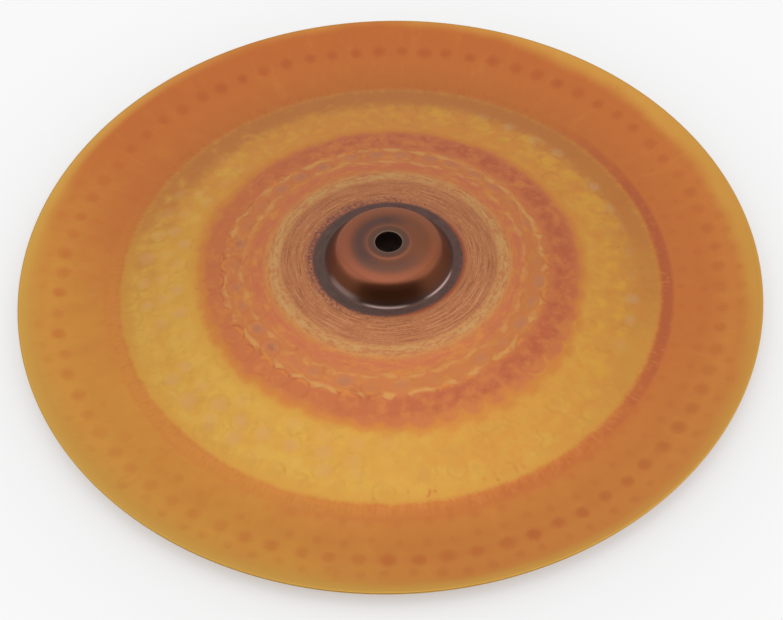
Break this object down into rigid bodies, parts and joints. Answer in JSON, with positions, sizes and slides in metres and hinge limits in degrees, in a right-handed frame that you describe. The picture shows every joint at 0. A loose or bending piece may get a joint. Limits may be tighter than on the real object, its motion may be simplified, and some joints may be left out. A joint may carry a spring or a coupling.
{
  "type": "china cymbal",
  "caption": "Hammered bronze china cymbal with a low flat-topped cup, a central stand hole, a cambered bow and an upturned rim, struck with a stick.",
  "frame": {"origin": "on the axis of the hole, in the plane that the underside of the crease rests on", "axes": "+Z along the axis, out of the top of the cup; the cymbal is round about Z, so X and Y are free"},
  "size_m": [0.3556, 0.3556, 0.0269],
  "materials": {
    "bronze": "hammered and lathed, heat-coloured, satin"
  },
  "bodies": {
    "root": {"cymbal": "bronze"}
  },
  "joints": []
}
